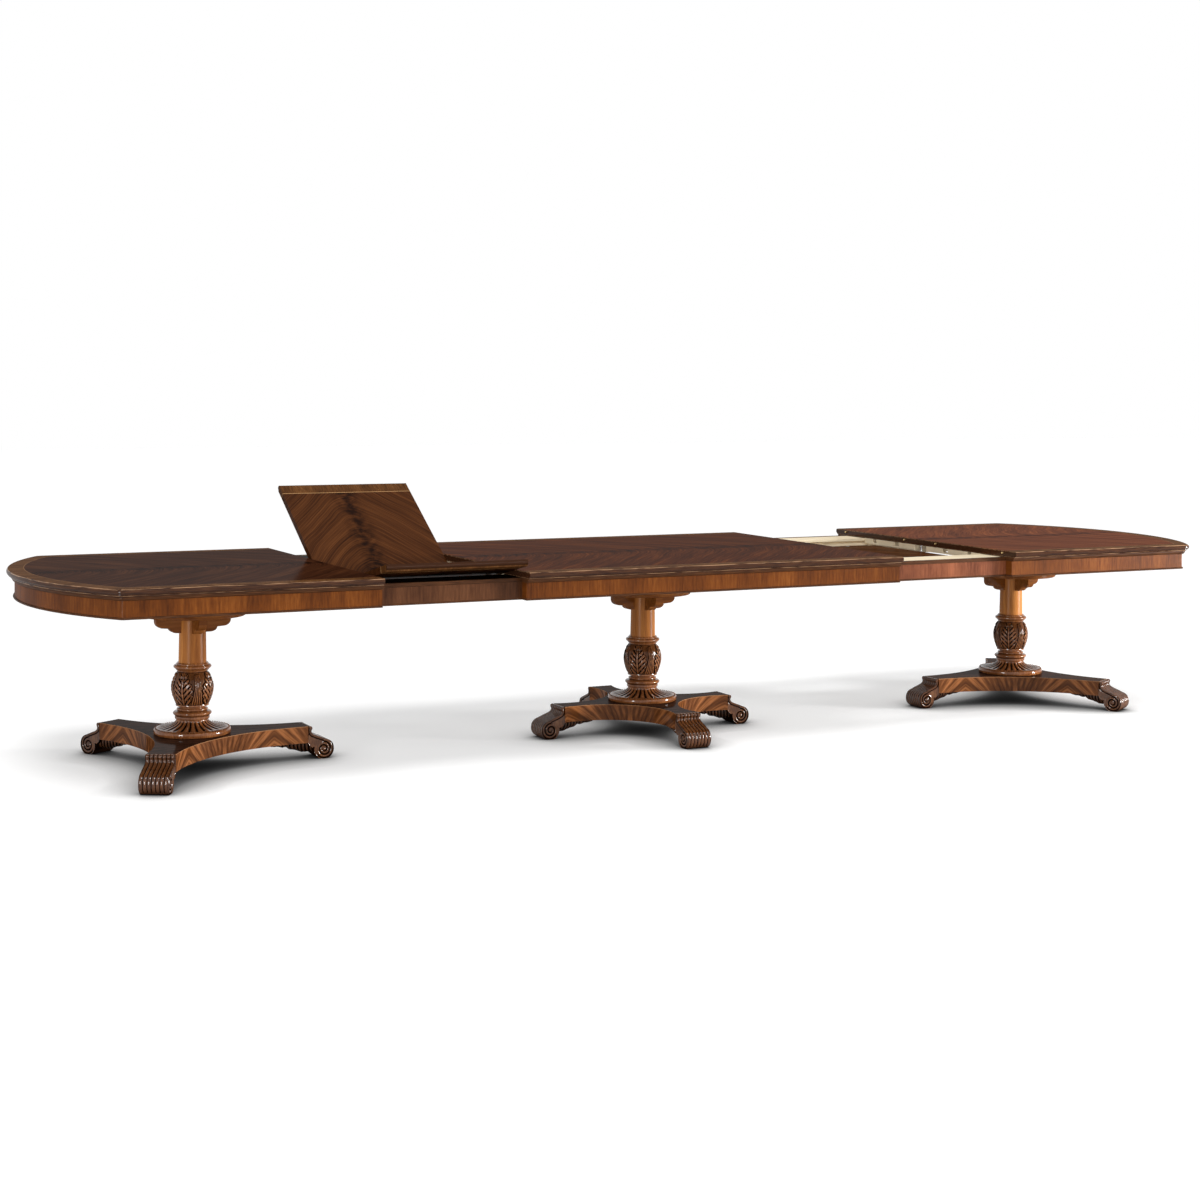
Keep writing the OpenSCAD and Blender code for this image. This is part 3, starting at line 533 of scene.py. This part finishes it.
def mesh_of(name, verts, faces, hollow, sharp=40):
    """A mesh of carved wood, with edges that turn by more than an angle kept sharp."""
    mesh = bpy.data.meshes.new(name)
    mesh.from_pydata([tuple(v) for v in np.array(verts) * MM], [], faces)
    mesh.validate()
    layer = mesh.attributes.new("hollow", "FLOAT", "POINT")
    layer.data.foreach_set("value", np.asarray(hollow, dtype=np.float32))
    mesh.polygons.foreach_set("use_smooth", [True] * len(mesh.polygons))
    mesh.set_sharp_from_angle(angle=math.radians(sharp))
    mesh.materials.append(CARVED)
    return mesh


def grid_faces(rows, cols, closed):
    """Faces between the points of a grid, which may close on itself along its rows."""
    last = cols if closed else cols - 1
    return [(i * cols + j, i * cols + (j + 1) % cols, (i + 1) * cols + (j + 1) % cols, (i + 1) * cols + j)
            for i in range(rows - 1) for j in range(last)]


def backwards(faces):
    """The same faces, turned to the other side."""
    return [face[::-1] for face in faces]


class Carving:
    """Points, their hollow and faces, gathered from several forms into one mesh."""

    def __init__(self):
        self.verts = []
        self.hollow = []
        self.faces = []

    def add(self, verts, hollow, faces):
        base = len(self.verts)
        self.verts += verts
        self.hollow += hollow
        self.faces += [tuple(base + k for k in face) for face in faces]


def rings(outline, cols):
    """A plain turned outline of radii and heights, as rows for turned()."""
    return [(np.full(cols, r), np.full(cols, z), np.full(cols, SMOOTH_SHADE)) for r, z in outline]


def turned(name, lines):
    """Surface of revolution from rows of points, each row with its radii, heights and hollows."""
    r, z, hollow = (np.array(part, float) for part in zip(*lines))
    rows, cols = r.shape
    a = np.linspace(0, 2 * math.pi, cols, endpoint=False)[None, :]
    verts = np.stack([r * np.cos(a), r * np.sin(a), z], axis=-1).reshape(-1, 3)
    return mesh_of(name, verts, backwards(grid_faces(rows, cols, True)), hollow.reshape(-1))


def half_round(r, z, half_h, out, count=12):
    """Outline of a moulding that swells out and back, from its top to its foot."""
    return [(r + out * math.cos(a), z + half_h * math.sin(a))
            for a in np.linspace(math.pi / 2, -math.pi / 2, count)]


def step_at(value, width):
    """0 below zero and 1 above it, with a smooth rise of this width between."""
    t = np.clip(value / width + 0.5, 0, 1)
    return t ** 2 * (3 - 2 * t)


def mound(value, middle, width):
    """1 at the middle, falling away smoothly on both sides."""
    return np.exp(-((value - middle) / width) ** 2)


def leaf_relief(a, s):
    """Height of one acanthus leaf, a degrees from its stem and at a share s of the vase's height."""
    lobes = 6.0
    off = np.abs(a)
    lobe = lobes * (s - 0.0115 * off)
    half = np.interp(s, [0, 0.12, 0.30, 0.50, 0.66, 0.78, 0.88, 0.95, 1],
                     [15, 24, 31, 31, 27, 20, 16, 14, 5])
    half = half * (0.84 + 0.18 * np.abs(np.sin(np.pi * (lobes * s - 0.2))))
    inside = step_at(half - off, 2.5)
    side = np.clip(off / half, 0, 1)
    ridge = np.power(np.abs(np.sin(np.pi * lobe)), 0.6)
    fold = 0.5 + 0.5 * np.cos(2 * np.pi * 3 * lobe)
    from_notch = np.mod(lobe + 0.5, 1.0) - 0.5
    eyes = mound(from_notch, 0, 0.16) * mound(off, 9.5, 3.2)
    eyes = eyes + 0.7 * mound(from_notch, 0, 0.14) * mound(off, 20, 4.0)
    body = 2.0 + 1.5 * np.sqrt(1 - 0.85 * side ** 2) + 1.9 * ridge * (0.25 + side) + 0.7 * fold * side
    leaf = inside * (body + mound(a, 0, 2.2) - 1.3 * mound(off, 4.8, 1.6) - 3.6 * eyes)
    tip = step_at(15 - off, 3.0)
    lip = mound(s, 0.90, 0.040) * tip
    under_lip = mound(s, 0.815, 0.022) * tip
    rolled = 5.4 * lip * (0.86 + 0.14 * np.cos(2 * np.pi * a / 6))
    return leaf * (1 - 0.8 * lip) + rolled - 1.6 * under_lip * inside


def tongue_relief(b, s):
    """Height of the tongue between two leaves, b degrees from its middle."""
    half = np.interp(s, [0, 0.25, 0.50, 0.68, 0.80, 0.92, 1], [21, 14, 9.5, 7.5, 9.5, 10, 4])
    inside = step_at(half - b, 2.0) * step_at(0.955 - s, 0.03)
    strand = np.power(np.abs(np.cos(np.pi * 2.5 * b / half)), 0.7)
    curl = mound(s, 0.885, 0.035) * mound(b, 5.2, 2.6)
    return inside * (1.3 + 2.6 * strand + 1.2 * curl)


def vase_relief(turn, s):
    """Height of the carving, and its hollow, which comes from the crests close by."""
    leaf_turn = 90.0
    a = np.mod(turn, leaf_turn) - leaf_turn / 2
    ground = 0.9 * step_at(s - 0.74, 0.12)
    carved = np.maximum(leaf_relief(a, s), tongue_relief(leaf_turn / 2 - np.abs(a), s))
    height = np.maximum(carved, ground)
    crest = height
    for step in (1, 2):
        for axis in (1, 0):
            for way in (step, -step):
                crest = np.maximum(crest, np.roll(height, way, axis))
    hollow = np.clip((crest - height) / 2.2 + 0.5 * np.clip(1 - height / 3.0, 0, 1), 0, 1)
    return height, np.where(height <= ground + 0.02, np.minimum(hollow, 0.35), hollow)


def vase_mesh():
    """Carved vase between a collar above and rings below, each given as radius and height."""
    cols, rows = 400, 150
    head = [(BORE_R, VASE_TOP), (58.5, VASE_TOP), (61.5, 395)]
    head += half_round(61.5, 385, 8, 10)
    head += [(63.5, 375), (59.5, 371), (58.5, 368)]
    foot = [(62, RELIEF_BASE), (62.5, 239), (62.5, 236.5), (60, 235.5), (50, 233), (49, 231), (49, 229)]
    foot += half_round(52, 223, 5, 7)
    foot += [(53, 217.5)]
    foot += half_round(58, 208, 9, 15, 16)
    foot += [(60, 198.5), (65.5, 197), (65.5, BELL_TOP), (BORE_R, BELL_TOP)]
    s = np.linspace(1, 0, rows)[:, None]
    turn = np.linspace(0, 360, cols, endpoint=False)[None, :]
    relief, hollow = vase_relief(turn, s)
    fade = np.clip(np.minimum(s / 0.03, (1 - s) / 0.02), 0, 1)
    swell = 58.5 + 18.5 * np.sin(np.pi * np.power(1 - s, 0.9)) + 3 * (1 - s)
    radii = swell - 3.4 + relief * fade
    heights = np.broadcast_to(RELIEF_BASE + s * (RELIEF_TOP - RELIEF_BASE), radii.shape)
    body = list(zip(radii, heights, hollow * fade + 0.5 * (1 - fade)))
    return turned("vase", rings(head, cols) + body + rings(foot, cols))


def flare(u):
    """Radius and height on the bell's hollow curve, from its neck at 0 to its rim at 1."""
    neck_r, neck_z = 61, 185
    spread, drop = 81, 32
    curve = 1.16 * (1 - np.sqrt(1 - 0.98 * u * u))
    return neck_r + spread * curve, neck_z - drop * u


def bell_mesh():
    """Bell cut into gadroons that fade out at its neck and at its rim, and the disc below it."""
    gadroons, points = 26, 20
    depth, rim = 4.0, 0.985
    cols = gadroons * points
    across = 2 * np.mod(np.arange(cols) / points, 1.0) - 1
    round_of = np.sqrt(np.clip(1 - across ** 2, 0, 1))
    body = []
    for u in np.linspace(0.0, rim, 44):
        r, z = flare(u)
        grow = min(1.0, u / 0.3) * min(1.0, (rim - u) / 0.05)
        cut = (1 - round_of) * depth * grow
        # Painted shade in the flutes between the gadroons
        hollow = np.clip((1 - round_of) * 1.25, 0, 1) * grow + 0.1
        body.append((r - grow - cut * 0.75, z - cut * 0.65, hollow))
    neck = [(BORE_R, BELL_TOP), (65.5, BELL_TOP), (64.5, 187)]
    disc = [(139, 151.5), (141.5, 150.5), (143, 149), (144.2, 146.5), (145, 143), (145, 137),
            (144.4, 133.5), (143, 131), (141, BELL_BASE), (BORE_R, BELL_BASE)]
    return turned("bell", rings(neck, cols) + body + rings(disc, cols))


def beads_mesh():
    """Row of small beads on the rim of the disc."""
    count, bead_r = 80, 2.7
    ring_r, ring_z = 138.5, 151.8
    rows, cols = 6, 8
    ball = []
    for i in range(rows):
        phi = math.pi * (i + 0.5) / rows
        for j in range(cols):
            a = 2 * math.pi * j / cols
            ball.append(np.array([math.sin(phi) * math.cos(a), math.sin(phi) * math.sin(a), math.cos(phi)]))
    last = (rows - 1) * cols
    caps = [tuple(range(cols)), tuple(last + j for j in reversed(range(cols)))]
    faces = backwards(grid_faces(rows, cols, True)) + caps
    beads = Carving()
    for k in range(count):
        a = 2 * math.pi * k / count
        middle = np.array([ring_r * math.cos(a), ring_r * math.sin(a), ring_z])
        # Painted shade: each bead darker towards its underside
        beads.add([middle + bead_r * v for v in ball], [0.5 - 0.5 * v[2] for v in ball], faces)
    return mesh_of("beads", beads.verts, beads.faces, beads.hollow)


# Scroll foot in its arm's own frame: x out from the arm's end, y across it, z up
FOOT_HALF_W = 54.0
VOLUTE_X, VOLUTE_Z, VOLUTE_R = 65.0, 38.0, 40.0
REED_DEPTH = 3.2


def spline(points, per):
    """Smooth line through points, with this many steps between two of them."""
    p = [np.array(q, float) for q in points]
    p = [2 * p[0] - p[1]] + p + [2 * p[-1] - p[-2]]
    line = []
    for i in range(1, len(p) - 2):
        for k in range(per):
            t = k / per
            line.append(0.5 * (2 * p[i] + (p[i + 1] - p[i - 1]) * t
                               + (2 * p[i - 1] - 5 * p[i] + 4 * p[i + 1] - p[i + 2]) * t * t
                               + (3 * p[i] - p[i - 1] - 3 * p[i + 1] + p[i + 2]) * t ** 3))
    line.append(p[-2])
    return line


def on_volute(degrees):
    """Point on the rim of the volute."""
    a = math.radians(degrees)
    return (VOLUTE_X + VOLUTE_R * math.cos(a), VOLUTE_Z + VOLUTE_R * math.sin(a))


def foot_front():
    """The reeded face: over the lip, down the neck and round the volute."""
    line = [(4, 130), (9, 129.8), (14, 128), (16.8, 123), (16, 118), (13.5, 113), (13.2, 108), (16, 102.5),
            (23, 97), (35, 92), (48, 87), (60, 82.5), (72, 77.4), (84, 73), (94, 66), (101, 56.5)]
    line += [on_volute(a) for a in (12, -2, -16, -30, -44, -58)]
    return np.array(spline(line, 5))


def foot_under():
    """The rest of the outline, back from the floor to the plinth."""
    line = [(77.5, 0), (52.5, 0)]
    line += [on_volute(a) for a in (240, 225, 210, 195, 180, 165)]
    return line + [(16, 46), (4, 56), (0, 64.9), (-19.5, 64.9), (-19.5, 66), (-0.2, 66)]


def distances(x, z, line):
    """Distance of each point x, z to the nearest point of a line."""
    return np.min(np.hypot(line[:, 0][None, :] - x[:, None], line[:, 1][None, :] - z[:, None]), axis=1)


def swell_of(value, half):
    """Rounded height over a band from 0 to twice its half width."""
    return np.sqrt(np.clip(1 - (value / half - 1) ** 2, 0, 1))


def side_relief(x, z, front):
    """Height of the side, 0 to 1: a raised band down the face's edge that winds into the volute."""
    coil_w, eye_r = 13.5, 8.0
    rim_w, panel_rise = 9.5, 4
    rho = np.hypot(x - VOLUTE_X, z - VOLUTE_Z)
    phi = np.degrees(np.arctan2(z - VOLUTE_Z, x - VOLUTE_X))
    phase = np.mod((VOLUTE_R - rho) / coil_w - np.mod((100 - phi) / 360, 1.0), 1.0)
    wound = np.where(phase < 0.66, swell_of(phase, 0.33), 0)
    eye = np.sqrt(np.clip(1 - (rho / eye_r) ** 2, 0, 1))
    coil = np.where(rho < eye_r, eye, wound)
    edge = distances(x, z, front)
    rim = np.where(edge < rim_w, swell_of(edge, rim_w / 2), 0)
    panel = 0.62 * np.clip((edge - 10) / panel_rise, 0, 1)
    off_volute = (rho > VOLUTE_R) | (phi > 95) & (rho > 27) | (x < 38)
    return np.where(off_volute, np.maximum(rim, panel), coil)


def inside(x, z, outline):
    """Whether a point lies inside an outline, by the edges that a ray from it crosses."""
    hit = False
    j = len(outline) - 1
    for i in range(len(outline)):
        (x1, z1), (x2, z2) = outline[i], outline[j]
        if (z1 > z) != (z2 > z) and x < (x2 - x1) * (z - z1) / (z2 - z1) + x1:
            hit = not hit
        j = i
    return hit


def add_front(foot, front):
    """The reeded face, with its reeds cut in along the normals of its line."""
    reeds, points = 7, 8
    across = np.linspace(-1, 1, reeds * points + 1)
    share = np.mod((across + 1) / 2 * reeds, 1.0)
    share[-1] = 0
    reed = np.sqrt(np.clip(1 - (2 * share - 1) ** 2, 0, 1))
    reed[0] = reed[-1] = 0.35
    tangent = np.gradient(front, axis=0)
    tangent /= np.linalg.norm(tangent, axis=1)[:, None]
    normal = np.stack([-tangent[:, 1], tangent[:, 0]], axis=1)
    run = np.linspace(0, 1, len(front))
    deep = REED_DEPTH * np.clip(np.minimum(run / 0.06, (1 - run) / 0.05), 0, 1)
    verts, hollow = [], []
    for i in range(len(front)):
        for j, y in enumerate(across):
            x, z = front[i] - normal[i] * (1 - reed[j]) * deep[i]
            verts.append((x, y * FOOT_HALF_W, z))
            hollow.append(0.75 * (1 - reed[j]) * deep[i] / REED_DEPTH)
    foot.add(verts, hollow, grid_faces(len(front), len(across), False))


def add_side(foot, front, sign):
    """A side of the foot, filled with fine triangles that carry the volute's relief."""
    least_gap, step, margin = 0.3, 2.0, 1.2
    relief_depth, edge_w = 4.0, 1.5
    outline = []
    for p in [tuple(p) for p in front] + foot_under():
        if not outline or math.hypot(p[0] - outline[-1][0], p[1] - outline[-1][1]) > least_gap:
            outline.append(p)
    line = np.array(outline)
    low, high = line.min(axis=0) + 1, line.max(axis=0)
    points = list(outline)
    for i, x in enumerate(np.arange(low[0], high[0], step)):
        for z in np.arange(low[1] + (i % 2) * step / 2, high[1], step):
            if inside(x, z, line) and np.min(np.hypot(line[:, 0] - x, line[:, 1] - z)) > margin:
                points.append((x, z))
    count = len(outline)
    edges = [(i, (i + 1) % count) for i in range(count)]
    filled = delaunay_2d_cdt([Vector(p) for p in points], edges, [list(range(count))], 1, 1e-4)
    x = np.array([v[0] for v in filled[0]])
    z = np.array([v[1] for v in filled[0]])
    relief = side_relief(x, z, front)
    lift = np.clip(distances(x, z, line) / edge_w, 0, 1)
    y = sign * (FOOT_HALF_W + (relief - 1) * relief_depth * lift)
    hollow = np.clip((1 - relief) * 1.3 * lift - 0.35, 0, 1)
    faces = [tuple(face) for face in filled[2]]
    foot.add(list(zip(x, y, z)), list(hollow), faces if sign < 0 else backwards(faces))


def add_under(foot, front):
    """The plain back of the foot, from the end of its face round to the plinth."""
    strip = [tuple(front[-1])] + foot_under()
    verts = [(x, y, z) for x, z in strip for y in (-FOOT_HALF_W, FOOT_HALF_W)]
    faces = [(a, a + 1, a + 3, a + 2) for a in range(0, 2 * len(strip) - 2, 2)]
    foot.add(verts, [0.5] * len(verts), faces)


def add_leaf(foot):
    """Acanthus bracket under the plinth, in slanting lobes that end in a small scroll."""
    rows, cols = 110, 40
    root, lobe_w = 65, 15.0
    verts, hollow = [], []
    for x in np.linspace(28, -164, rows):
        low = np.interp(-x, [-28, -16, 0, 10, 26, 40, 60, 74, 90, 106, 128, 150, 160, 164],
                        [22, 22, 22, 22, 28, 33, 36, 47, 45, 50, 50, 55, 60, 64])
        wide = np.interp(-x, [-28, 0, 20, 50, 74, 90, 110, 135, 155, 164],
                         [40, 38, 36, 34, 28, 30, 27, 22, 14, 3])
        for a in [math.pi * (j / (cols - 1)) for j in range(cols)]:
            slant = x / lobe_w + 1.5 * abs(math.cos(a))
            lobe = abs(math.sin(math.pi * slant))
            vein = 0.5 + 0.5 * math.cos(6 * math.pi * slant)
            keel = math.exp(-(math.cos(a) / 0.16) ** 2)
            y = -wide * math.cos(a) * (0.86 + 0.14 * lobe + 0.02 * vein)
            z = root - (root - low) * math.sin(a) ** 0.7 * (0.86 + 0.14 * max(lobe, keel))
            verts.append((x, y, min(z, root)))
            hollow.append(min(1, max(0, 1.05 - 1.15 * max(lobe, 0.8 * keel))))
    foot.add(verts, hollow, backwards(grid_faces(rows, cols, False)))


def foot_mesh():
    """Reeded scroll foot with its carved leaf bracket."""
    foot = Carving()
    front = foot_front()
    add_front(foot, front)
    add_side(foot, front, 1)
    add_side(foot, front, -1)
    add_under(foot, front)
    add_leaf(foot)
    return mesh_of("foot", foot.verts, foot.faces, foot.hollow, 50)


def piece(name, mesh, x, y, turn, body, replaced):
    """A carved piece that stands in for a plain solid and moves with its body."""
    o = bpy.data.objects.new(name, mesh)
    bpy.context.scene.collection.objects.link(o)
    o.location = (x, y, 0)
    o.rotation_euler = (0, 0, math.radians(turn))
    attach(o, body)
    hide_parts(replaced)


VASE, BELL, BEADS, FOOT = vase_mesh(), bell_mesh(), beads_mesh(), foot_mesh()
for section, (body, sign, arm, turns) in SECTIONS.items():
    ped_x = sign * PED_X
    piece(section + "_vase_carved", VASE, ped_x, 0, 0, body, section + "_vase")
    piece(section + "_bell_carved", BELL, ped_x, 0, 0, body, section + "_bell")
    piece(section + "_bell_beads", BEADS, ped_x, 0, 0, body, section + "_bell")
    for i, turn in enumerate(turns):
        a = math.radians(turn)
        x, y = ped_x + arm * math.cos(a), arm * math.sin(a)
        piece(f"{section}_foot_{i + 1}", FOOT, x, y, turn, body, section + "_feet")


# Stage: a pale floor and white surroundings for the camera and for reflections, dimmer for other light
def seen(shading):
    """1 for light paths that the camera, a gloss or a clear surface looks along, else 0."""
    path = shading.node("ShaderNodeLightPath")
    camera, gloss, clear = (Value(shading, path.outputs[key])
                            for key in ("Is Camera Ray", "Is Glossy Ray", "Is Transmission Ray"))
    return shading.math("MAXIMUM", shading.math("MAXIMUM", camera, gloss), clear)


def floor_material():
    """Matte grey that also glows where it is seen. Both fade where something stands close by."""
    grey, glow_level, shadow_reach = 0.50, 0.56, 0.20
    mat = bpy.data.materials.new("floor_white")
    mat.use_nodes = True
    mat.node_tree.nodes.clear()
    shading = Shading(mat.node_tree)
    near = shading.node("ShaderNodeAmbientOcclusion")
    near.inputs["Distance"].default_value = shadow_reach
    free = shading.math("POWER", Value(shading, near.outputs["AO"]), 2.0)
    matte = shading.node("ShaderNodeBsdfDiffuse")
    shading.put(matte.inputs["Color"], free * grey)
    glow = shading.node("ShaderNodeEmission")
    shading.put(glow.inputs["Strength"], seen(shading) * free * glow_level)
    layers = [Value(shading, layer.outputs[0]) for layer in (matte, glow)]
    out = shading.node("ShaderNodeOutputMaterial")
    shading.put(out.inputs["Surface"], shading.fed("ShaderNodeAddShader", layers))
    return mat


def make_floor():
    """Plane that the table stands on."""
    bpy.ops.mesh.primitive_plane_add(size=60, location=(0, 0, 0))
    floor = bpy.context.object
    floor.name = "floor"
    floor.data.materials.append(floor_material())


def make_world():
    """White where it is seen, and a dim fill light otherwise."""
    fill, white = 0.34, 1.0
    world = bpy.data.worlds.new("studio")
    bpy.context.scene.world = world
    world.use_nodes = True
    shading = Shading(world.node_tree)
    back = world.node_tree.nodes["Background"]
    back.inputs["Color"].default_value = (1, 1, 1, 1)
    shading.put(back.inputs["Strength"], shading.span(seen(shading), 0.0, 1.0, fill, white))


def aim(lamp, way):
    """Point a lamp along a direction and add it to the scene."""
    lamp.rotation_euler = Vector(way).to_track_quat("-Z", "Y").to_euler()
    bpy.context.scene.collection.objects.link(lamp)


def make_sun(name, way, strength, spread):
    """Soft light from far off, spread over an angle in degrees."""
    data = bpy.data.lights.new(name, "SUN")
    data.energy = strength
    data.angle = math.radians(spread)
    aim(bpy.data.objects.new(name, data), way)


def make_lamp(name, place, target, size, power):
    """Soft box of a width and a height in metres, in watts."""
    data = bpy.data.lights.new(name, "AREA")
    data.shape = "RECTANGLE"
    data.size, data.size_y = size
    data.energy = power
    o = bpy.data.objects.new(name, data)
    o.location = place
    aim(o, Vector(target) - Vector(place))


make_floor()
make_world()
make_sun("key", (0.18, 0.42, -1.0), 1.9, 20)
make_lamp("right", (8.5, -4.5, 1.25), (0.8, 0, 0.4), (1.5, 2.4), 1500)
make_lamp("left", (-7.6, -4.8, 1.25), (-1.2, 0, 0.4), (1.5, 2.4), 280)
make_lamp("front", (1.5, -7.0, 4.2), (1.0, -0.7, 0.75), (9.0, 0.25), 80)

bpy.context.scene.view_settings.view_transform = "Standard"
